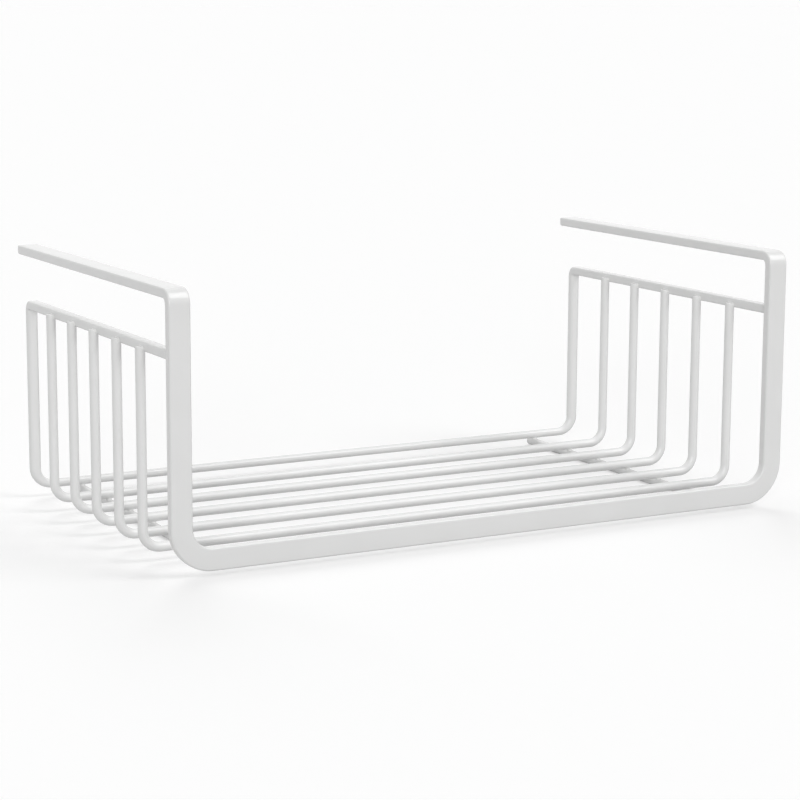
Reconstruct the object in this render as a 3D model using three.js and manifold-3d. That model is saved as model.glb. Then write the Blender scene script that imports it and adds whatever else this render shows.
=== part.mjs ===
// Under-shelf hanging basket of bent and welded steel, coated white.
// Millimetres, +Z up, +X to the right, the front face towards -Y.
// The origin lies under the middle of the basket, on the surface that it stands on.
import * as THREE from 'three';
import { mergeVertices } from 'three/addons/utils/BufferGeometryUtils.js';
import Module from 'manifold-3d';

const wasm = await Module();
wasm.setup();

// Clearance between two pieces that a weld joins
const fitGap = 0.3;

// Front frame: one flat bar with a lip, two uprights and two arms
const frontWidth = 360; // over the outer faces of the uprights
const frontHeight = 137.5; // lip's lower edge to the arms' top face
const frontLift = 2.3; // surface to the lip's lower edge
const frontBarWidth = 11.3;
const frontBarThickness = 5;
const frontBarEdgeRadius = 0.8;
const frontCornerRadius = 10.5; // inside the lower corners
const armBendRadius = 2.5; // inside the fold on top of each upright
const armLength = 212; // front face to the arms' back ends

// Rear frame: one bar with two rails, two uprights and the rear run
const rearBarWidth = 6.2;
const rearBarThickness = 4.8;
const rearBarEdgeRadius = 1.2;
const rearRunHeight = 4.6; // the bar is drawn down to this through the lower corners
const railInset = 1.7; // rail's outer face inward of the upright's outer face
const railDrop = 29.7; // arms' top face down to the rails' top face
const railBendRadius = 1.2; // inside the bend behind each rail
const rearCornerRadius = 6; // inside the lower corners

// U wires: a row of round wires between the two frames
const wireCount = 5;
const wireDiameter = 5;
const wirePitch = 31.15;
const wireBendRadius = 6.5; // inside the lower bends
const frontWireSetback = 39; // front face to the axis of the front wire
const rearWireGap = 40.5; // axis of the last wire to the middle of the rear bar
const wireProud = 3; // how far a wire's end stands out of the rail's face
const wireLap = 2.4; // how far a wire's end reaches up the rail's face

// Cross wires: front to back under the U wires and the rear run
const crossWireDiameter = 4.5;
const crossWireInset = 32; // upright's outer face to the wire's axis
const crossWireOverhang = 4; // past the axis of the front U wire
const crossWireRearOverhang = 5; // past the middle of the rear bar

// Welds
const crossWeldRadius = 2.7; // ball of weld metal round a crossing
const rearWeldFillet = 0.9; // in front of and behind the rear run
const endWeldReach = 1.6; // out of the rail's face
const endWeldLength = 7.2; // along the rail, past both sides of the wire
const endWeldHeight = 1.5; // above and below the wire's end
const railWeldWidth = 1.2; // round the rail's end
const railWeldDepth = 1.3; // along the rail

// Facets
const barEdgeSteps = 2; // in each rounded edge of a flat bar
const wireSides = 12;
const tightBendSteps = 5;
const wideBendSteps = 8;
const ballSides = 12;
const ballRings = 8;
const mergeDistance = 1e-4; // corners closer than this are one corner

// Places that follow from the sizes
const wireRadius = wireDiameter / 2;
const crossWireRadius = crossWireDiameter / 2;
const floorOfWires = crossWireDiameter + fitGap;
const armTop = frontLift + frontHeight;
const railTop = armTop - railDrop;
const railBottom = railTop - rearBarThickness;
const railOuter = frontWidth / 2 - railInset;
const railInner = railOuter - rearBarWidth;
const railMiddle = (railOuter + railInner) / 2;
const wireTop = railBottom + wireLap;
const wireLeft = -(railOuter + wireProud - wireRadius);
const wireRight = railInner - wireProud + wireRadius;
const rearSetback = frontWireSetback + (wireCount - 1) * wirePitch + rearWireGap;
const overallDepth = Math.max(armLength, rearSetback + rearBarThickness / 2);
const frontFace = -overallDepth / 2;
const rearMiddle = frontFace + rearSetback;
const leftmost = Math.min(-frontWidth / 2, wireLeft - wireRadius);
const rightmost = Math.max(frontWidth / 2, wireRight + wireRadius);
const toMiddle = -(leftmost + rightmost) / 2; // the wires reach further out on the left

// Axis of a U wire, counted from 1 behind to wireCount in front
function wireAxis(number) {
  return frontFace + frontWireSetback + (wireCount - number) * wirePitch;
}

const coat = new THREE.MeshStandardMaterial({ color: 0xf1f1f0, roughness: 0.42, metalness: 0 });
const weldedCoat = new THREE.MeshStandardMaterial({ color: 0xeeeeec, roughness: 0.5, metalness: 0 });

// Straight runs with right-angle bends between them, sampled at the bends alone
class BentPath extends THREE.Curve {
  constructor(corners, radii, steps) {
    super();
    this.places = [];
    this.directions = [];
    const runs = corners.slice(1).map((corner, i) => corner.clone().sub(corners[i]).normalize());
    this.add(corners[0], runs[0]);
    radii.forEach((radius, i) => this.bend(corners[i + 1], runs[i], runs[i + 1], radius, steps[i]));
    this.add(corners[corners.length - 1], runs[runs.length - 1]);
  }

  add(place, direction) {
    this.places.push(place.clone());
    this.directions.push(direction.clone());
  }

  bend(corner, before, after, radius, steps) {
    const centre = corner.clone().addScaledVector(before, -radius).addScaledVector(after, radius);
    for (let step = 0; step <= steps; step += 1) {
      const turn = (step / steps) * (Math.PI / 2);
      const place = centre.clone();
      place.addScaledVector(after, -radius * Math.cos(turn));
      place.addScaledVector(before, radius * Math.sin(turn));
      const direction = before.clone().multiplyScalar(Math.cos(turn));
      this.add(place, direction.addScaledVector(after, Math.sin(turn)));
    }
  }

  get steps() {
    return this.places.length - 1;
  }

  getPointAt(share, target = new THREE.Vector3()) {
    return target.copy(this.places[Math.round(share * this.steps)]);
  }

  getTangentAt(share, target = new THREE.Vector3()) {
    return target.copy(this.directions[Math.round(share * this.steps)]);
  }
}

// Flat bar's section: thickness along the shape's x, width along its y
function barSection(thickness, width, edge) {
  const points = [];
  for (let corner = 0; corner < 4; corner += 1) {
    const signX = corner === 0 || corner === 3 ? 1 : -1;
    const signY = corner < 2 ? 1 : -1;
    for (let step = 0; step <= barEdgeSteps; step += 1) {
      const angle = (corner + step / barEdgeSteps) * (Math.PI / 2);
      const x = signX * (thickness / 2 - edge) + edge * Math.cos(angle);
      const y = signY * (width / 2 - edge) + edge * Math.sin(angle);
      points.push(new THREE.Vector2(x, y));
    }
  }
  return new THREE.Shape(points);
}

// Round wire's section
function wireSection(radius) {
  const points = [];
  for (let side = 0; side < wireSides; side += 1) {
    const angle = (side / wireSides) * 2 * Math.PI;
    points.push(new THREE.Vector2(radius * Math.cos(angle), radius * Math.sin(angle)));
  }
  return new THREE.Shape(points);
}

function sweep(section, path) {
  return new THREE.ExtrudeGeometry(section, { extrudePath: path, steps: path.steps });
}

function straightWire(radius, from, to) {
  return sweep(wireSection(radius), new BentPath([from, to], [], []));
}

// Closed solids for cutting, and back to a geometry
function solidOf(geometry) {
  const bare = geometry.index ? geometry.toNonIndexed() : geometry.clone();
  bare.deleteAttribute('normal');
  bare.deleteAttribute('uv');
  const merged = mergeVertices(bare, mergeDistance);
  const vertProperties = new Float32Array(merged.attributes.position.array);
  const triVerts = new Uint32Array(merged.index.array);
  return new wasm.Manifold(new wasm.Mesh({ numProp: 3, vertProperties, triVerts }));
}

function geometryOf(solid) {
  const mesh = solid.getMesh();
  const geometry = new THREE.BufferGeometry();
  geometry.setAttribute('position', new THREE.BufferAttribute(new Float32Array(mesh.vertProperties), 3));
  geometry.setIndex(new THREE.BufferAttribute(new Uint32Array(mesh.triVerts), 1));
  const faceted = geometry.toNonIndexed();
  faceted.computeVertexNormals();
  return faceted;
}

function block(low, high) {
  const size = high.clone().sub(low);
  const geometry = new THREE.BoxGeometry(size.x, size.y, size.z);
  const middle = low.clone().add(high).multiplyScalar(0.5);
  geometry.translate(middle.x, middle.y, middle.z);
  return solidOf(geometry);
}

function ball(middle, radii) {
  const geometry = new THREE.SphereGeometry(1, ballSides, ballRings);
  geometry.scale(radii.x, radii.y, radii.z);
  geometry.translate(middle.x, middle.y, middle.z);
  return solidOf(geometry);
}

const point = (x, y, z) => new THREE.Vector3(x, y, z);
const basket = new THREE.Group();

function place(name, geometry, material) {
  const mesh = new THREE.Mesh(geometry, material);
  mesh.name = name;
  mesh.position.x = toMiddle;
  basket.add(mesh);
}

// Arm, fold, upright, corner, lip and the same again on the right
function frontFrame() {
  const side = frontWidth / 2 - frontBarWidth / 2;
  const middle = frontFace + frontBarThickness / 2;
  const armBack = frontFace + armLength;
  const top = armTop - frontBarThickness / 2;
  const bottom = frontLift + frontBarWidth / 2;
  const corners = [
    point(-side, armBack, top),
    point(-side, middle, top),
    point(-side, middle, bottom),
    point(side, middle, bottom),
    point(side, middle, top),
    point(side, armBack, top),
  ];
  const fold = armBendRadius + frontBarThickness / 2;
  const corner = frontCornerRadius + frontBarWidth / 2;
  const steps = [tightBendSteps, wideBendSteps, wideBendSteps, tightBendSteps];
  const path = new BentPath(corners, [fold, corner, corner, fold], steps);
  return sweep(barSection(frontBarThickness, frontBarWidth, frontBarEdgeRadius), path);
}

// Draws the bar down from the rear uprights to the rear run, with its outer side kept
function drawRearRun(geometry) {
  const outer = rearCornerRadius + rearBarWidth;
  const bendX = railOuter - outer;
  const bendZ = floorOfWires + outer;
  const corners = geometry.attributes.position;
  for (let i = 0; i < corners.count; i += 1) {
    const x = corners.getX(i);
    const aside = Math.max(Math.abs(x) - bendX, 0);
    const below = Math.max(bendZ - corners.getZ(i), 0);
    const share = Math.atan2(below, aside) / (Math.PI / 2);
    const kept = 1 - (1 - rearRunHeight / rearBarWidth) * share;
    const reach = Math.hypot(aside, below);
    if (below > 0) {
      const drawn = (outer - (outer - reach) * kept) / reach;
      corners.setX(i, x - Math.sign(x) * aside * (1 - drawn));
      corners.setZ(i, bendZ - below * drawn);
    }
  }
  geometry.computeVertexNormals();
  return geometry;
}

// Rail, rear upright, rear run, rear upright and rail
function rearFrame() {
  const railFront = frontFace + frontBarThickness + fitGap;
  const top = railTop - rearBarThickness / 2;
  const bottom = floorOfWires + rearBarWidth / 2;
  const corners = [
    point(-railMiddle, railFront, top),
    point(-railMiddle, rearMiddle, top),
    point(-railMiddle, rearMiddle, bottom),
    point(railMiddle, rearMiddle, bottom),
    point(railMiddle, rearMiddle, top),
    point(railMiddle, railFront, top),
  ];
  const bend = railBendRadius + rearBarThickness / 2;
  const corner = rearCornerRadius + rearBarWidth / 2;
  const steps = [tightBendSteps, wideBendSteps, wideBendSteps, tightBendSteps];
  const path = new BentPath(corners, [bend, corner, corner, bend], steps);
  return drawRearRun(sweep(barSection(rearBarThickness, rearBarWidth, rearBarEdgeRadius), path));
}

// Space that a rail takes, with its clearance, over the length from one Y to another
function railSpace(side, from, to) {
  const low = side < 0 ? -railOuter : railInner;
  const high = side < 0 ? -railInner : railOuter;
  return block(
    point(low - fitGap, from, railBottom - fitGap),
    point(high + fitGap, to, railTop + fitGap),
  );
}

// Each end is cut to lap the rail: on the left outside it, on the right inside it
function uWire(number) {
  const y = wireAxis(number);
  const bottom = floorOfWires + wireRadius;
  const corners = [
    point(wireLeft, y, wireTop),
    point(wireLeft, y, bottom),
    point(wireRight, y, bottom),
    point(wireRight, y, wireTop),
  ];
  const bend = wireBendRadius + wireRadius;
  const path = new BentPath(corners, [bend, bend], [wideBendSteps, wideBendSteps]);
  const whole = solidOf(sweep(wireSection(wireRadius), path));
  const leftRail = railSpace(-1, y - wireDiameter, y + wireDiameter);
  const rightRail = railSpace(1, y - wireDiameter, y + wireDiameter);
  return geometryOf(whole.subtract(leftRail).subtract(rightRail));
}

const crossWireFront = wireAxis(wireCount) - crossWireOverhang;
const crossWireBack = rearMiddle + crossWireRearOverhang;

function crossWire(x) {
  const from = point(x, crossWireFront, crossWireRadius);
  return straightWire(crossWireRadius, from, point(x, crossWireBack, crossWireRadius));
}

// Weld metal in the corners between a cross wire and what lies on it
function crossWeld(x, y, length, above) {
  const contact = floorOfWires - fitGap / 2;
  const metal = ball(point(x, y, contact), point(crossWeldRadius, length / 2, crossWeldRadius));
  const below = straightWire(
    crossWireRadius + fitGap,
    point(x, y - length, crossWireRadius),
    point(x, y + length, crossWireRadius),
  );
  return geometryOf(metal.subtract(solidOf(below)).subtract(above));
}

function wireWeld(x, y) {
  const reach = 2 * crossWeldRadius;
  const height = floorOfWires + wireRadius;
  const wire = straightWire(wireRadius + fitGap, point(x - reach, y, height), point(x + reach, y, height));
  return crossWeld(x, y, 2 * crossWeldRadius, solidOf(wire));
}

function rearRunWeld(x) {
  const reach = 2 * crossWeldRadius;
  const half = rearBarThickness / 2 + fitGap;
  const run = block(
    point(x - reach, rearMiddle - half, floorOfWires - fitGap),
    point(x + reach, rearMiddle + half, floorOfWires + rearRunHeight),
  );
  return crossWeld(x, rearMiddle, 2 * (half + rearWeldFillet), run);
}

// Weld metal over a wire's end and down its sides, against the rail's face
function endWeld(side, number) {
  const y = wireAxis(number);
  const face = side < 0 ? -railOuter : railInner;
  const axis = side < 0 ? wireLeft : wireRight;
  const metal = ball(point(face, y, wireTop), point(endWeldReach, endWeldLength / 2, endWeldHeight));
  const reach = endWeldLength + wireDiameter;
  const wireEnd = straightWire(
    wireRadius + fitGap,
    point(axis, y, wireTop - reach),
    point(axis, y, wireTop + fitGap),
  );
  const bare = metal.subtract(solidOf(wireEnd));
  return geometryOf(bare.subtract(railSpace(side, y - reach, y + reach)));
}

// Ring of weld metal round a rail's end, against the back of the upright
function railWeld(side) {
  const grow = 2 * railWeldWidth;
  const ring = barSection(rearBarThickness + grow, rearBarWidth + grow, rearBarEdgeRadius + railWeldWidth);
  const clear = 2 * fitGap;
  const rail = barSection(rearBarThickness + clear, rearBarWidth + clear, rearBarEdgeRadius + fitGap);
  ring.holes.push(rail);
  const back = frontFace + frontBarThickness + fitGap;
  const height = railTop - rearBarThickness / 2;
  const from = point(side * railMiddle, back, height);
  const to = point(side * railMiddle, back + railWeldDepth, height);
  return sweep(ring, new BentPath([from, to], [], []));
}

place('front_frame', frontFrame(), coat);
place('rear_frame', rearFrame(), coat);
for (let number = 1; number <= wireCount; number += 1) {
  place(`u_wire_${number}`, uWire(number), coat);
}

const sides = [
  { name: 'left', sign: -1 },
  { name: 'right', sign: 1 },
];
for (const { name, sign } of sides) {
  const crossX = sign * (frontWidth / 2 - crossWireInset);
  place(`cross_wire_${name}`, crossWire(crossX), coat);
  place(`weld_rail_${name}`, railWeld(sign), weldedCoat);
  place(`weld_cross_${name}_0`, rearRunWeld(crossX), weldedCoat);
  for (let number = 1; number <= wireCount; number += 1) {
    place(`weld_cross_${name}_${number}`, wireWeld(crossX, wireAxis(number)), weldedCoat);
    place(`weld_end_${name}_${number}`, endWeld(sign, number), weldedCoat);
  }
}

export default basket;
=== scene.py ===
import math

import bmesh
import bpy
from mathutils import Matrix, Vector, noise


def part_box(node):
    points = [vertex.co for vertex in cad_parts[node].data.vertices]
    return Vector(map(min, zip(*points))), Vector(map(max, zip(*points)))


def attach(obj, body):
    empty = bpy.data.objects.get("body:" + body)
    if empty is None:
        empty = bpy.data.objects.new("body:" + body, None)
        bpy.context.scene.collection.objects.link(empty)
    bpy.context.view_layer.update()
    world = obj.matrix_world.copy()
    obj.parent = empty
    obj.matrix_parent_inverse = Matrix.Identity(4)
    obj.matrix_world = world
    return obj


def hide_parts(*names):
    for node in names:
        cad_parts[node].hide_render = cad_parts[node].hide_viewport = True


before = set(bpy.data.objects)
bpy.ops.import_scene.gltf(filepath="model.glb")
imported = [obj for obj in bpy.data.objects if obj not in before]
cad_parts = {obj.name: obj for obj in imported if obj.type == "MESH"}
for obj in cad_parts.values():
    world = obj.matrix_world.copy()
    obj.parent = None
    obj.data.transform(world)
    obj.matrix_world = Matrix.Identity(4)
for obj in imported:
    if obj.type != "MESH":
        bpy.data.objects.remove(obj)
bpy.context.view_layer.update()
mm = 0.001
scene = bpy.context.scene

# Camera: in front of the left corner, a little above the arms
cameraView = {
    "place": (-0.592894, -1.095052, 0.278741),
    "yaw": 28.4769,  # to the right of +Y
    "pitch": -10.1339,
    "roll": 0.2631,
    "lens": 103.906,
    "sensor": 36.0,
}


def makeCamera(view):
    data = bpy.data.cameras.new("photoCamera")
    data.lens = view["lens"]
    data.sensor_width = view["sensor"]
    camera = bpy.data.objects.new("photoCamera", data)
    turn = Matrix.Rotation(math.radians(-view["yaw"]), 4, "Z")
    turn = turn @ Matrix.Rotation(math.radians(90 + view["pitch"]), 4, "X")
    turn = turn @ Matrix.Rotation(math.radians(view["roll"]), 4, "Z")
    camera.matrix_world = Matrix.Translation(view["place"]) @ turn
    scene.collection.objects.link(camera)
    scene.camera = camera


makeCamera(cameraView)
scene.view_settings.view_transform = "Standard"
print("camera set")

# Studio: an even dome, a soft box behind, two fills in front, and a broad light that only shines
highCorner = (0.466, -0.41, 0.785)
studio = {
    "dome": 0.40,
    "white": 0.983,  # open floor and backdrop, as the camera sees them
    "glow": 0.38,  # share of the floor's white that shadows leave alone
    "floorBounce": 0.43,  # floor's grey where it only lights the basket
    "floorHalf": 30.0,
    # a fill lights the surfaces, a shine is seen only in their gloss
    "lights": [
        {"name": "rearBox", "from": (0.15, 0.75, 0.64), "level": 0.39, "spread": 40, "use": "fill"},
        {"name": "lowFill", "from": (-0.54, -0.81, 0.24), "level": 0.36, "spread": 26, "use": "both"},
        {"name": "highFill", "from": highCorner, "level": 0.24, "spread": 26, "use": "fill"},
        {"name": "shineBox", "from": highCorner, "level": 0.5, "spread": 40, "use": "shine"},
    ],
}


def shownRay(nodes, links):
    # 1 for a ray that shows the background: camera, mirror-like or through glass
    path = nodes.new("ShaderNodeLightPath")
    first = nodes.new("ShaderNodeMath")
    second = nodes.new("ShaderNodeMath")
    second.use_clamp = True
    links.new(path.outputs["Is Camera Ray"], first.inputs[0])
    links.new(path.outputs["Is Glossy Ray"], first.inputs[1])
    links.new(first.outputs[0], second.inputs[0])
    links.new(path.outputs["Is Transmission Ray"], second.inputs[1])
    return second.outputs[0]


def makeWorld(studio):
    world = bpy.data.worlds.new("studioDome")
    world.use_nodes = True
    nodes, links = world.node_tree.nodes, world.node_tree.links
    light = nodes["Background"]
    light.inputs["Strength"].default_value = studio["dome"]
    light.inputs["Color"].default_value = (1, 1, 1, 1)
    shown = nodes.new("ShaderNodeBackground")
    shown.inputs["Color"].default_value = (1, 1, 1, 1)
    shown.inputs["Strength"].default_value = studio["white"]
    mix = nodes.new("ShaderNodeMixShader")
    links.new(shownRay(nodes, links), mix.inputs["Fac"])
    links.new(light.outputs[0], mix.inputs[1])
    links.new(shown.outputs[0], mix.inputs[2])
    links.new(mix.outputs[0], nodes["World Output"].inputs["Surface"])
    scene.world = world


def makeLights(studio):
    for box in studio["lights"]:
        data = bpy.data.lights.new(box["name"], "SUN")
        data.energy = box["level"] * math.pi
        data.angle = math.radians(box["spread"])
        light = bpy.data.objects.new(box["name"], data)
        light.matrix_world = Vector(box["from"]).to_track_quat("Z", "Y").to_matrix().to_4x4()
        light.visible_diffuse = box["use"] != "shine"
        light.visible_glossy = box["use"] != "fill"
        scene.collection.objects.link(light)


def makeFloor(studio):
    openLight = studio["dome"]
    for box in studio["lights"]:
        if box["use"] != "shine":
            openLight += box["level"] * Vector(box["from"]).normalized().z
    half = studio["floorHalf"]
    corners = [(-half, -half, 0), (half, -half, 0), (half, half, 0), (-half, half, 0)]
    mesh = bpy.data.meshes.new("floor")
    mesh.from_pydata(corners, [], [(0, 1, 2, 3)])
    floor = bpy.data.objects.new("floor", mesh)
    paper = bpy.data.materials.new("whitePaper")
    paper.use_nodes = True
    nodes, links = paper.node_tree.nodes, paper.node_tree.links
    nodes.remove(nodes["Principled BSDF"])
    grey = nodes.new("ShaderNodeBsdfDiffuse")
    grey.inputs["Color"].default_value = (studio["floorBounce"],) * 3 + (1,)
    white = nodes.new("ShaderNodeBsdfDiffuse")
    white.inputs["Color"].default_value = (studio["white"] / openLight,) * 3 + (1,)
    glow = nodes.new("ShaderNodeEmission")
    glow.inputs["Color"].default_value = (1, 1, 1, 1)
    glow.inputs["Strength"].default_value = studio["white"]
    paleShade = nodes.new("ShaderNodeMixShader")
    paleShade.inputs["Fac"].default_value = studio["glow"]
    links.new(white.outputs[0], paleShade.inputs[1])
    links.new(glow.outputs[0], paleShade.inputs[2])
    mix = nodes.new("ShaderNodeMixShader")
    links.new(shownRay(nodes, links), mix.inputs["Fac"])
    links.new(grey.outputs[0], mix.inputs[1])
    links.new(paleShade.outputs[0], mix.inputs[2])
    links.new(mix.outputs[0], nodes["Material Output"].inputs["Surface"])
    mesh.materials.append(paper)
    scene.collection.objects.link(floor)
    print("floor white", round(studio["white"] / openLight, 3), "under open light", round(openLight, 3))


makeWorld(studio)
makeLights(studio)
makeFloor(studio)

# Finishes: a baked white powder coat, and the same coat over weld metal
barCoat = {
    "name": "whitePowderCoat",
    "colour": (0.872, 0.873, 0.868),
    "thickColour": (0.888, 0.889, 0.885),  # where the coat lies thicker
    "edgeColour": (0.842, 0.843, 0.838),  # where it draws thin over an edge
    "roughness": (0.225, 0.27),
    "edgePolish": 0.05,
    "ior": 1.5,
    "peelSize": 3.0 * mm,
    "peelDepth": 0.003 * mm,
    "grainSize": 0.6 * mm,
    "grainDepth": 0.00008 * mm,
    "patchSize": 26 * mm,
    "patchRange": (0.35, 0.68),  # noise from thin to thick
    "glossRange": (0.3, 0.7),  # noise from glossier to duller
    "edgeLeast": 0.35,  # least of the edge colour that the patches leave
}
weldCoat = dict(
    barCoat,
    name="coatOverWeld",
    colour=(0.852, 0.852, 0.844),
    thickColour=(0.875, 0.875, 0.868),
    roughness=(0.28, 0.34),
    peelSize=1.6 * mm,
    peelDepth=0.004 * mm,
)


def noiseNode(nodes, links, place, size, detail):
    node = nodes.new("ShaderNodeTexNoise")
    node.inputs["Scale"].default_value = 1 / size
    node.inputs["Detail"].default_value = detail
    links.new(place, node.inputs["Vector"])
    return node.outputs["Fac"]


def rangeNode(nodes, links, value, span, outLow, outHigh):
    node = nodes.new("ShaderNodeMapRange")
    node.interpolation_type = "SMOOTHSTEP"
    node.inputs["From Min"].default_value, node.inputs["From Max"].default_value = span
    node.inputs["To Min"].default_value = outLow
    node.inputs["To Max"].default_value = outHigh
    links.new(value, node.inputs["Value"])
    return node.outputs["Result"]


def mathNode(nodes, links, operation, first, second):
    node = nodes.new("ShaderNodeMath")
    node.operation = operation
    for socket, value in zip(node.inputs, (first, second)):
        if isinstance(value, (int, float)):
            socket.default_value = value
        else:
            links.new(value, socket)
    return node.outputs[0]


def colourMix(nodes, links, share, first, second):
    node = nodes.new("ShaderNodeMix")
    node.data_type = "RGBA"  # its colours are sockets 6 and 7, and their mix is output 2
    links.new(share, node.inputs[0])
    for socket, value in ((node.inputs[6], first), (node.inputs[7], second)):
        if isinstance(value, tuple):
            socket.default_value = value + (1,)
        else:
            links.new(value, socket)
    return node.outputs[2]


def bumpNode(nodes, links, height, depth, below=None):
    node = nodes.new("ShaderNodeBump")
    node.inputs["Strength"].default_value = 1.0
    node.inputs["Distance"].default_value = depth
    links.new(height, node.inputs["Height"])
    if below is not None:
        links.new(below, node.inputs["Normal"])
    return node.outputs["Normal"]


def powderCoat(look):
    material = bpy.data.materials.new(look["name"])
    material.use_nodes = True
    nodes, links = material.node_tree.nodes, material.node_tree.links
    shader = nodes["Principled BSDF"]
    shader.inputs["IOR"].default_value = look["ior"]
    place = nodes.new("ShaderNodeTexCoord").outputs["Object"]
    edge = nodes.new("ShaderNodeAttribute")
    edge.attribute_name = "edgeTouch"
    patches = noiseNode(nodes, links, place, look["patchSize"], 1)
    peel = noiseNode(nodes, links, place, look["peelSize"], 2)
    grain = noiseNode(nodes, links, place, look["grainSize"], 1)

    # thicker and thinner patches, which also break up the thin edges
    thick = rangeNode(nodes, links, patches, look["patchRange"], 0, 1)
    body = colourMix(nodes, links, thick, look["colour"], look["thickColour"])
    breakUp = rangeNode(nodes, links, patches, look["glossRange"], look["edgeLeast"], 1)
    thin = mathNode(nodes, links, "MULTIPLY", edge.outputs["Fac"], breakUp)
    links.new(colourMix(nodes, links, thin, body, look["edgeColour"]), shader.inputs["Base Color"])

    low, high = look["roughness"]
    satin = rangeNode(nodes, links, patches, look["glossRange"], low, high)
    polish = mathNode(nodes, links, "MULTIPLY", thin, look["edgePolish"])
    links.new(mathNode(nodes, links, "SUBTRACT", satin, polish), shader.inputs["Roughness"])

    fine = bumpNode(nodes, links, grain, look["grainDepth"])
    links.new(bumpNode(nodes, links, peel, look["peelDepth"], fine), shader.inputs["Normal"])
    return material


whiteCoat = powderCoat(barCoat)
coatOverWeld = powderCoat(weldCoat)
print("finishes mixed")

# Mesh tools for bent bars and wires
bending = {
    "lead": 0.5 * mm,  # extra ring beside each bend keeps the straight runs flat
    "wideSteps": 28,
    "foldSteps": 20,
    "endSteps": 6,
    "edgeSteps": 6,
    "flats": (-0.94, -0.5, 0.0, 0.5, 0.94),  # places across a flat, from -1 to 1
    "leastEdge": 0.12 * mm,
    "swellRamp": 0.7,  # below 1 the swelling builds up early in a bend
    "creaseAngle": 42,
}


def station(place, heading, side, outward=None, bulge=0.0, run=0.0):
    # run counts the straight runs passed so far, with the bends between them as fractions
    return {
        "place": place,
        "heading": heading,
        "side": side,
        "outward": outward,
        "bulge": bulge,
        "run": run,
    }


def bentRoute(corners, radii, steps, firstSide, bulge):
    runs = [(after - before).normalized() for before, after in zip(corners, corners[1:])]
    side = Vector(firstSide)
    route = [station(corners[0], runs[0], side)]
    bends = zip(corners[1:], runs, runs[1:], radii, steps)
    for passed, (corner, before, after, radius, count) in enumerate(bends):
        axis = before.cross(after)
        centre = corner - before * radius + after * radius
        lead = corner - before * (radius + bending["lead"])
        route.append(station(lead, before, side, run=passed))
        for step in range(count + 1):
            turn = Matrix.Rotation(math.radians(90 * step / count), 3, axis)
            outward = turn @ -after
            inside = 0 < step < count
            ramp = math.sin(math.pi * step / count) ** bending["swellRamp"] if inside else 0.0
            spot = station(centre + outward * radius, turn @ before, turn @ side, outward, bulge * ramp)
            spot["run"] = passed + step / count
            route.append(spot)
        side = turn @ side
        lead = corner + after * (radius + bending["lead"])
        route.append(station(lead, after, side, run=passed + 1))
    route.append(station(corners[-1], runs[-1], side, run=len(radii)))
    return route


def barSection(width, thickness, edge, crown, inset=0.0):
    # round the four edges, and crown the flats a little as the coat does
    halfWidth = width / 2 - inset
    halfThick = thickness / 2 - inset
    edge = max(edge - inset, bending["leastEdge"])
    edgeSteps = bending["edgeSteps"]
    points = []
    for corner in range(4):
        signX = 1 if corner in (0, 3) else -1
        signY = 1 if corner < 2 else -1
        for step in range(edgeSteps + 1):
            angle = math.radians(90) * (corner + step / edgeSteps)
            touch = math.sin(math.pi * step / edgeSteps)
            across = signX * (halfWidth - edge) + edge * math.cos(angle)
            through = signY * (halfThick - edge) + edge * math.sin(angle)
            points.append((across, through, touch))
        for flat in bending["flats"]:
            rise = crown * (1 - flat * flat)
            if corner == 0:
                points.append((-flat * (halfWidth - edge), halfThick + rise, 0.0))
            elif corner == 1:
                points.append((-halfWidth - rise, -flat * (halfThick - edge), 0.0))
            elif corner == 2:
                points.append((flat * (halfWidth - edge), -halfThick - rise, 0.0))
            else:
                points.append((halfWidth + rise, flat * (halfThick - edge), 0.0))
    return points


def wireSection(radius, angles, inset=0.0):
    radius -= inset
    return [(radius * math.sin(angle), radius * math.cos(angle), 0.0) for angle in angles]


def addRing(mesh, at, section, shift=0.0):
    touchLayer = mesh.verts.layers.float["edgeTouch"]
    up = at["heading"].cross(at["side"])
    half = max(math.hypot(across, through) for across, through, touch in section)
    ring = []
    for across, through, touch in section:
        offset = at["side"] * across + up * through
        if at["bulge"]:
            # metal swells on the inside of a bend and draws in on the outside
            reach = offset.dot(at["outward"])
            sideways = offset - at["outward"] * reach
            offset = at["outward"] * reach + sideways * (1 - at["bulge"] * reach / half)
        vert = mesh.verts.new(at["place"] + at["heading"] * shift + offset)
        vert[touchLayer] = touch
        ring.append(vert)
    return ring


def joinRings(mesh, first, second):
    count = len(first)
    for index in range(count):
        after = (index + 1) % count
        mesh.faces.new((first[index], first[after], second[after], second[index]))


def newMesh():
    mesh = bmesh.new()
    mesh.verts.layers.float.new("edgeTouch")
    return mesh


def endRings(mesh, at, sectionAt, radius, outwards):
    # quarter-round over a cut end, from the bar's full section to the flat of the cut
    rings = []
    for step in range(bending["endSteps"] + 1):
        angle = math.radians(90) * step / bending["endSteps"]
        shift = outwards * radius * (math.sin(angle) - 1)
        rings.append(addRing(mesh, at, sectionAt(at, radius * (1 - math.cos(angle))), shift))
    return rings


def sweep(mesh, route, sectionAt, roundStart=0.0, roundEnd=0.0, caps=True):
    rings = [addRing(mesh, at, sectionAt(at, 0.0)) for at in route[1:-1]]
    if roundStart:
        rings = endRings(mesh, route[0], sectionAt, roundStart, -1)[::-1] + rings
    else:
        rings.insert(0, addRing(mesh, route[0], sectionAt(route[0], 0.0)))
    if roundEnd:
        rings += endRings(mesh, route[-1], sectionAt, roundEnd, 1)
    else:
        rings.append(addRing(mesh, route[-1], sectionAt(route[-1], 0.0)))
    for first, second in zip(rings, rings[1:]):
        joinRings(mesh, first, second)
    if caps:
        mesh.faces.new(rings[0][::-1])
        mesh.faces.new(rings[-1])
    return rings


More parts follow.
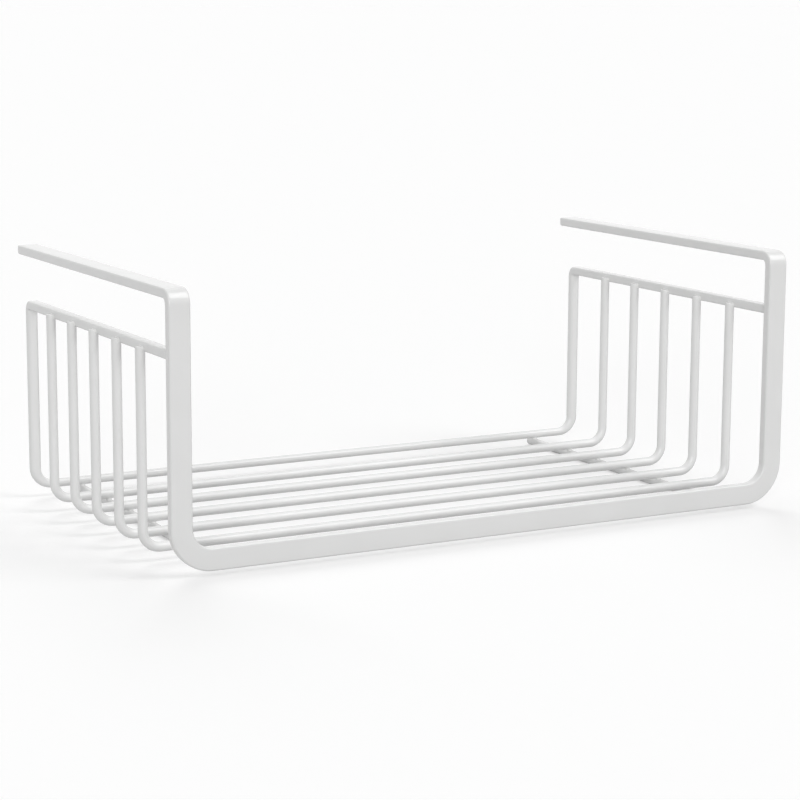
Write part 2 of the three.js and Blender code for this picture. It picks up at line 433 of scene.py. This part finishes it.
def finishPiece(mesh, name, node, material):
    bmesh.ops.recalc_face_normals(mesh, faces=mesh.faces[:])
    data = bpy.data.meshes.new(name)
    mesh.to_mesh(data)
    mesh.free()
    for face in data.polygons:
        face.use_smooth = True
    data.set_sharp_from_angle(angle=math.radians(bending["creaseAngle"]))
    data.materials.append(material)
    piece = bpy.data.objects.new(name, data)
    scene.collection.objects.link(piece)
    even = piece.modifiers.new("evenShade", "WEIGHTED_NORMAL")
    even.keep_sharp = True
    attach(piece, "root")
    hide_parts(node)


# Front frame: arm, fold, upright, corner and lip in one flat bar, and the same back again
frontBar = {
    "width": 11.3 * mm,
    "thickness": 5.0 * mm,
    "edge": 0.9 * mm,
    "crown": 0.03 * mm,
    "corner": 10.5 * mm,  # inside
    "fold": 2.5 * mm,  # inside
    "bulge": 0.03,
    "endRound": 2.2 * mm,
}


def makeFrontFrame(bar):
    low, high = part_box("front_frame")
    left = low.x + bar["width"] / 2
    right = high.x - bar["width"] / 2
    face = low.y + bar["thickness"] / 2
    top = high.z - bar["thickness"] / 2
    lip = low.z + bar["width"] / 2
    corners = [
        Vector((left, high.y, top)),
        Vector((left, face, top)),
        Vector((left, face, lip)),
        Vector((right, face, lip)),
        Vector((right, face, top)),
        Vector((right, high.y, top)),
    ]
    fold = bar["fold"] + bar["thickness"] / 2
    corner = bar["corner"] + bar["width"] / 2
    steps = [bending["foldSteps"], bending["wideSteps"], bending["wideSteps"], bending["foldSteps"]]
    route = bentRoute(corners, [fold, corner, corner, fold], steps, (1, 0, 0), bar["bulge"])

    def sectionAt(at, inset):
        return barSection(bar["width"], bar["thickness"], bar["edge"], bar["crown"], inset)

    mesh = newMesh()
    sweep(mesh, route, sectionAt, bar["endRound"], bar["endRound"])
    finishPiece(mesh, "frontFrame", "front_frame", whiteCoat)


makeFrontFrame(frontBar)
print("front frame bent")

# Rear frame: rail, upright, rear run, upright and rail in one narrower bar
rearBar = {
    "width": 6.2 * mm,
    "thickness": 4.8 * mm,
    "edge": 1.05 * mm,  # along the rails
    "runEdge": 2.15 * mm,  # down the uprights and along the rear run
    "runHeight": 4.6 * mm,  # drawn down to this through the lower corners
    "crown": 0.03 * mm,
    "corner": 6.0 * mm,  # inside
    "fold": 1.2 * mm,  # inside
    "bulge": 0.04,
    "bite": 0.05 * mm,  # into the weld at the rails' front ends
}


def softStep(value):
    value = min(max(value, 0), 1)
    return value * value * (3 - 2 * value)


def makeRearFrame(bar):
    low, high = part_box("rear_frame")
    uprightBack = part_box("front_frame")[0].y + frontBar["thickness"]
    left = low.x + bar["width"] / 2
    right = high.x - bar["width"] / 2
    back = high.y - bar["thickness"] / 2
    top = high.z - bar["thickness"] / 2
    run = low.z + bar["width"] / 2
    front = uprightBack - bar["bite"]
    corners = [
        Vector((left, front, top)),
        Vector((left, back, top)),
        Vector((left, back, run)),
        Vector((right, back, run)),
        Vector((right, back, top)),
        Vector((right, front, top)),
    ]
    fold = bar["fold"] + bar["thickness"] / 2
    corner = bar["corner"] + bar["width"] / 2
    steps = [bending["foldSteps"], bending["wideSteps"], bending["wideSteps"], bending["foldSteps"]]
    route = bentRoute(corners, [fold, corner, corner, fold], steps, (1, 0, 0), bar["bulge"])

    def sectionAt(at, inset):
        # full along the rails, rounder past the bend behind them, drawn down along the rear run
        past = min(at["run"], len(steps) - at["run"])
        edge = bar["edge"] + (bar["runEdge"] - bar["edge"]) * softStep(past)
        lost = (bar["width"] - bar["runHeight"]) * min(max(past - 1, 0), 1)
        section = barSection(bar["width"] - lost, bar["thickness"], edge, bar["crown"], inset)
        return [(across - lost / 2, through, touch) for across, through, touch in section]

    mesh = newMesh()
    sweep(mesh, route, sectionAt)
    finishPiece(mesh, "rearFrame", "rear_frame", whiteCoat)


makeRearFrame(rearBar)
print("rear frame bent")

# U wires: five round wires whose ends lap the rails, outside on the left and inside on the right
uWire = {
    "count": 5,
    "bend": 6.5 * mm,  # inside
    "bulge": 0.03,
    "lapSteps": 10,
    "sideSteps": 8,
    "lapRound": 0.45 * mm,
    "bite": 0.05 * mm,  # into the rail
    "angleSlack": 1e-4,  # for telling which side of the rail's face a point is on
}


def railFaces():
    low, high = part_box("rear_frame")
    return {
        "left": low.x,
        "right": high.x - rearBar["width"],
        "under": high.z - rearBar["thickness"],
    }


def wireFacts(number):
    low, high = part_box(f"u_wire_{number}")
    radius = (high.y - low.y) / 2
    return {
        "radius": radius,
        "y": (low.y + high.y) / 2,
        "left": low.x + radius,
        "right": high.x - radius,
        "bottom": low.z + radius,
        "top": high.z,
    }


def lapAngles(opening):
    # ring of angles with a corner wherever a rail's face will cut the wire, at either end
    narrow = min(opening, math.pi - opening)
    angles = []
    for start, stop, count in (
        (-narrow, narrow, uWire["lapSteps"]),
        (narrow, math.pi - narrow, uWire["sideSteps"]),
        (math.pi - narrow, math.pi + narrow, uWire["lapSteps"]),
        (math.pi + narrow, 2 * math.pi - narrow, uWire["sideSteps"]),
    ):
        angles += [start + (stop - start) * step / count for step in range(count)]
    return angles


def lapEnd(mesh, ring, facts, axisX, depth):
    # the part of the wire that stands out of the rail's face goes on to its flat, softened top
    fullOpening = math.acos(depth / facts["radius"])
    limit = fullOpening + uWire["angleSlack"]
    around = []
    for vert in ring:
        swing = math.atan2(vert.co.y - facts["y"], axisX - vert.co.x)
        around.append((swing, vert))
    around.sort(key=lambda pair: pair[0])
    exposed = [pair for pair in around if abs(pair[0]) < limit]
    hidden = [pair[1] for pair in around if pair[0] > limit]
    hidden += [pair[1] for pair in around if pair[0] < -limit]
    mesh.faces.new([exposed[-1][1]] + hidden + [exposed[0][1]])
    previous = [vert for swing, vert in exposed]
    for step in range(bending["endSteps"] + 1):
        angle = math.radians(90) * step / bending["endSteps"]
        radius = facts["radius"] - uWire["lapRound"] * (1 - math.cos(angle))
        height = facts["top"] - uWire["lapRound"] * (1 - math.sin(angle))
        closing = math.acos(depth / radius) / fullOpening
        level = []
        for swing, vert in exposed:
            across = -radius * math.cos(swing * closing)
            along = radius * math.sin(swing * closing)
            level.append(mesh.verts.new((axisX + across, facts["y"] + along, height)))
        for index in range(len(level) - 1):
            mesh.faces.new((previous[index], previous[index + 1], level[index + 1], level[index]))
        mesh.faces.new((previous[-1], previous[0], level[0], level[-1]))
        previous = level
    mesh.faces.new(previous)


def makeUWire(number):
    facts = wireFacts(number)
    rail = railFaces()
    depth = facts["left"] - rail["left"] - uWire["bite"]
    opening = math.acos(depth / facts["radius"])
    angles = lapAngles(opening)
    under = rail["under"] + uWire["bite"]
    corners = [
        Vector((facts["left"], facts["y"], under)),
        Vector((facts["left"], facts["y"], facts["bottom"])),
        Vector((facts["right"], facts["y"], facts["bottom"])),
        Vector((facts["right"], facts["y"], under)),
    ]
    bend = uWire["bend"] + facts["radius"]
    steps = [bending["wideSteps"], bending["wideSteps"]]
    route = bentRoute(corners, [bend, bend], steps, (0, 1, 0), uWire["bulge"])
    mesh = newMesh()
    rings = sweep(mesh, route, lambda at, inset: wireSection(facts["radius"], angles, inset), caps=False)
    lapEnd(mesh, rings[0], facts, facts["left"], depth)
    lapEnd(mesh, rings[-1], facts, facts["right"], depth)
    finishPiece(mesh, f"uWire{number}", f"u_wire_{number}", whiteCoat)


for number in range(1, uWire["count"] + 1):
    makeUWire(number)
print("U wires bent:", uWire["count"])

# Cross wires: straight, front to back under the U wires, with softened cut ends
crossWire = {
    "sides": 36,
    "endRound": 0.7 * mm,
    "lead": 0.02,  # share of the length from each end to the first full ring
}


def makeCrossWire(sideName):
    low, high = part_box(f"cross_wire_{sideName}")
    radius = (high.z - low.z) / 2
    middle = (low + high) / 2
    angles = [2 * math.pi * step / crossWire["sides"] for step in range(crossWire["sides"])]
    front = Vector((middle.x, low.y, middle.z))
    back = Vector((middle.x, high.y, middle.z))
    heading = Vector((0, 1, 0))
    lead = crossWire["lead"]
    places = [front, front.lerp(back, lead), front.lerp(back, 1 - lead), back]
    route = [station(place, heading, Vector((1, 0, 0))) for place in places]
    mesh = newMesh()
    rounding = crossWire["endRound"]
    sweep(mesh, route, lambda at, inset: wireSection(radius, angles, inset), rounding, rounding)
    name = f"crossWire{sideName.capitalize()}"
    finishPiece(mesh, name, f"cross_wire_{sideName}", whiteCoat)


for sideName in ("left", "right"):
    makeCrossWire(sideName)
print("cross wires laid")

# Crossing welds: a waist of metal between a cross wire and what lies on it
crossWeld = {
    "mouth": 1.1 * mm,  # how far apart the surfaces are where the weld ends
    "waist": 0.22 * mm,
    "ripple": 0.07,
    "around": 48,
    "tall": 8,
    "bite": 0.12 * mm,
    "start": 0.6 * mm,  # least reach out from the crossing
    "stride": 0.02 * mm,
    "wireShare": 0.93,  # most of a wire's radius that the weld may cover
    "runShare": 0.94,  # and of half the rear run's thickness
    "rippleScale": 2.2,
    "rippleStep": 7,  # keeps the two sides' ripples apart
}


def underRoundWire(y, axisZ, radius):
    return axisZ - math.sqrt(max(radius * radius - y * y, 0))


def underRearRun(y, low, bar):
    flat = bar["thickness"] / 2 - bar["runEdge"]
    past = min(max(abs(y) - flat, 0), bar["runEdge"])
    return low + bar["runEdge"] - math.sqrt(max(bar["runEdge"] ** 2 - past * past, 0))


def makeCrossWeld(sideName, number):
    low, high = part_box(f"cross_wire_{sideName}")
    wireRadius = (high.z - low.z) / 2
    x = (low.x + high.x) / 2
    if number:
        facts = wireFacts(number)
        y = facts["y"]
        reach = facts["radius"] * crossWeld["wireShare"]

        def above(dy):
            return underRoundWire(dy, facts["bottom"], facts["radius"])
    else:
        runLow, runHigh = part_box("rear_frame")
        y = runHigh.y - rearBar["thickness"] / 2
        reach = rearBar["thickness"] / 2 * crossWeld["runShare"]

        def above(dy):
            return underRearRun(dy, runLow.z, rearBar)

    def below(dx):
        return wireRadius + math.sqrt(max(wireRadius**2 - dx * dx, 0))

    mesh = newMesh()
    walls = []
    for step in range(crossWeld["around"]):
        angle = 2 * math.pi * step / crossWeld["around"]
        out = crossWeld["start"]
        while True:
            dx, dy = out * math.cos(angle), out * math.sin(angle)
            if above(dy) - below(dx) > crossWeld["mouth"]:
                break
            if abs(dx) > wireRadius * crossWeld["wireShare"] or abs(dy) > reach:
                break
            out += crossWeld["stride"]
        scale = crossWeld["rippleScale"]
        layer = number + crossWeld["rippleStep"] * x
        seed = Vector((scale * math.cos(angle), scale * math.sin(angle), layer))
        out *= 1 + crossWeld["ripple"] * noise.noise(seed)
        dx, dy = out * math.cos(angle), out * math.sin(angle)
        foot, head = below(dx), above(dy)
        wall = []
        for level in range(crossWeld["tall"] + 1):
            share = level / crossWeld["tall"]
            pull = crossWeld["waist"] * 4 * share * (1 - share) / out
            height = foot - crossWeld["bite"] + (head - foot + 2 * crossWeld["bite"]) * share
            wall.append(mesh.verts.new((x + dx * (1 - pull), y + dy * (1 - pull), height)))
        walls.append(wall)
    foot = mesh.verts.new((x, y, below(0) - crossWeld["bite"]))
    head = mesh.verts.new((x, y, above(0) + crossWeld["bite"]))
    for wall, after in zip(walls, walls[1:] + walls[:1]):
        for level in range(crossWeld["tall"]):
            mesh.faces.new((wall[level], after[level], after[level + 1], wall[level + 1]))
        mesh.faces.new((wall[0], foot, after[0]))
        mesh.faces.new((wall[-1], after[-1], head))
    name = f"weldCross{sideName.capitalize()}{number}"
    finishPiece(mesh, name, f"weld_cross_{sideName}_{number}", coatOverWeld)


for sideName in ("left", "right"):
    for number in range(uWire["count"] + 1):
        makeCrossWeld(sideName, number)
print("crossing welds run")

# End welds: a fillet up one side of each wire's end, over its top and down the other side
endWeld = {
    "onRail": 1.05 * mm,  # beside the wire
    "onWire": 1.2 * mm,
    "onRailTop": 0.2 * mm,  # over the wire's top
    "onWireTop": 0.3 * mm,
    "turn": 1.0 * mm,  # round the two upper corners
    "swell": -0.1,  # below 0 for a hollow fillet, above for a full one
    "ripple": 0.06,
    "rippleScale": 0.8,  # noise steps in a millimetre
    "wireStep": 3.1,  # keeps the wires' ripples apart
    "sideStep": 40,  # and the two sides'
    "taper": 0.25,  # share of its size at the lower ends
    "bite": 0.25 * mm,
    "sideSteps": 9,
    "turnSteps": 6,
    "topSteps": 8,
    "steps": 7,
}


def endWeldPath(facts, depth, under):
    # for each place: along, up, the way out over the rail's face, how near the top and how far grown
    half = math.sqrt(facts["radius"] ** 2 - depth * depth)
    turn = endWeld["turn"]
    bottom = under - facts["top"]
    path = []
    for step in range(endWeld["sideSteps"]):
        share = step / endWeld["sideSteps"]
        path.append((-half, bottom + (-turn - bottom) * share, 180.0, 0.0, share))
    for step in range(endWeld["turnSteps"]):
        share = step / endWeld["turnSteps"]
        angle = math.radians(180 - 90 * share)
        along = -half + turn + turn * math.cos(angle)
        path.append((along, -turn + turn * math.sin(angle), 180 - 90 * share, share, 1.0))
    for step in range(endWeld["topSteps"] // 2 + 1):
        share = step / endWeld["topSteps"]
        path.append(((2 * half - 2 * turn) * share - half + turn, 0.0, 90.0, 1.0, 1.0))
    other = [(-along, up, 180 - lean, top, grown) for along, up, lean, top, grown in path[:-1]]
    return path + other[::-1]


def makeEndWeld(sideName, number):
    facts = wireFacts(number)
    rail = railFaces()
    face = rail[sideName]
    depth = facts[sideName] - face
    mesh = newMesh()
    rings = []
    for along, up, lean, top, grown in endWeldPath(facts, depth, rail["under"]):
        angle = math.radians(lean)
        scale = endWeld["rippleScale"]
        layer = number * endWeld["wireStep"] + face * endWeld["sideStep"]
        seed = Vector((along / mm * scale, up / mm * scale, layer))
        size = 1 + endWeld["ripple"] * noise.noise(seed)
        size *= endWeld["taper"] + (1 - endWeld["taper"]) * grown
        onRail = (endWeld["onRail"] + (endWeld["onRailTop"] - endWeld["onRail"]) * top) * size
        onWire = (endWeld["onWire"] + (endWeld["onWireTop"] - endWeld["onWire"]) * top) * size
        spots = []
        for step in range(endWeld["steps"] + 1):
            share = step / endWeld["steps"]
            full = 1 + endWeld["swell"] * math.sin(math.pi * share)
            spots.append((onRail * (1 - share) * full, onWire * share * full))
        spots.append((-endWeld["bite"], onWire))
        spots.append((-endWeld["bite"], -endWeld["bite"]))
        spots.append((onRail, -endWeld["bite"]))
        ring = []
        for away, out in spots:
            # beside the wire the metal follows the wire's round
            bow = 0.0
            if out > 0 and top < 1:
                reach = math.sqrt(max(facts["radius"] ** 2 - (out + depth) ** 2, 0))
                bow = (reach - math.sqrt(facts["radius"] ** 2 - depth * depth)) * (1 - top)
            y = facts["y"] + along + (away + bow) * math.cos(angle)
            z = facts["top"] + up + away * math.sin(angle)
            ring.append(mesh.verts.new((face - out, y, z)))
        rings.append(ring)
    for first, second in zip(rings, rings[1:]):
        joinRings(mesh, first, second)
    mesh.faces.new(rings[0][::-1])
    mesh.faces.new(rings[-1])
    name = f"weldEnd{sideName.capitalize()}{number}"
    finishPiece(mesh, name, f"weld_end_{sideName}_{number}", coatOverWeld)


for sideName in ("left", "right"):
    for number in range(1, uWire["count"] + 1):
        makeEndWeld(sideName, number)
print("end welds run")

# Rail welds: a hollow fillet round each rail's front end, against the back of the upright
railWeld = {
    "width": 0.9 * mm,  # out from the rail
    "depth": 1.3 * mm,  # along the rail
    "bite": 0.08 * mm,
    "root": 0.24 * mm,  # into the rail, under the fillet
    "ripple": 0.12,
    "rippleScale": 0.9,
    "sideStep": 4.0,  # keeps the two sides' ripples apart
    "steps": 7,
}


def makeRailWeld(sideName):
    low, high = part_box("rear_frame")
    sign = -1 if sideName == "left" else 1
    middleX = low.x + rearBar["width"] / 2 if sign < 0 else high.x - rearBar["width"] / 2
    middleZ = high.z - rearBar["thickness"] / 2
    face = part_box("front_frame")[0].y + frontBar["thickness"]
    outline = barSection(rearBar["width"], rearBar["thickness"], rearBar["edge"], 0.0)
    mesh = newMesh()
    rings = []
    count = len(outline)
    for index, (across, up, touch) in enumerate(outline):
        before, after = outline[index - 1], outline[(index + 1) % count]
        normal = Vector((after[1] - before[1], before[0] - after[0])).normalized()
        scale = railWeld["rippleScale"]
        seed = Vector((across / mm * scale, up / mm * scale, sign * railWeld["sideStep"]))
        size = 1 + railWeld["ripple"] * noise.noise(seed)
        width, depth = railWeld["width"] * size, railWeld["depth"] * size
        ring = []
        for step in range(railWeld["steps"] + 1):
            angle = math.radians(90) * step / railWeld["steps"]
            out = width * (1 - math.sin(angle)) - railWeld["bite"] * step / railWeld["steps"]
            along = depth * (1 - math.cos(angle)) - railWeld["bite"] * (1 - step / railWeld["steps"])
            ring.append((out, along))
        ring.append((-railWeld["root"], depth))
        ring.append((-railWeld["root"], -railWeld["bite"]))
        verts = []
        for out, along in ring:
            spot = (middleX + across + normal.x * out, face + along, middleZ + up + normal.y * out)
            verts.append(mesh.verts.new(spot))
        rings.append(verts)
    for first, second in zip(rings, rings[1:] + rings[:1]):
        joinRings(mesh, first, second)
    name = f"weldRail{sideName.capitalize()}"
    finishPiece(mesh, name, f"weld_rail_{sideName}", coatOverWeld)


for sideName in ("left", "right"):
    makeRailWeld(sideName)
print("rail welds run")
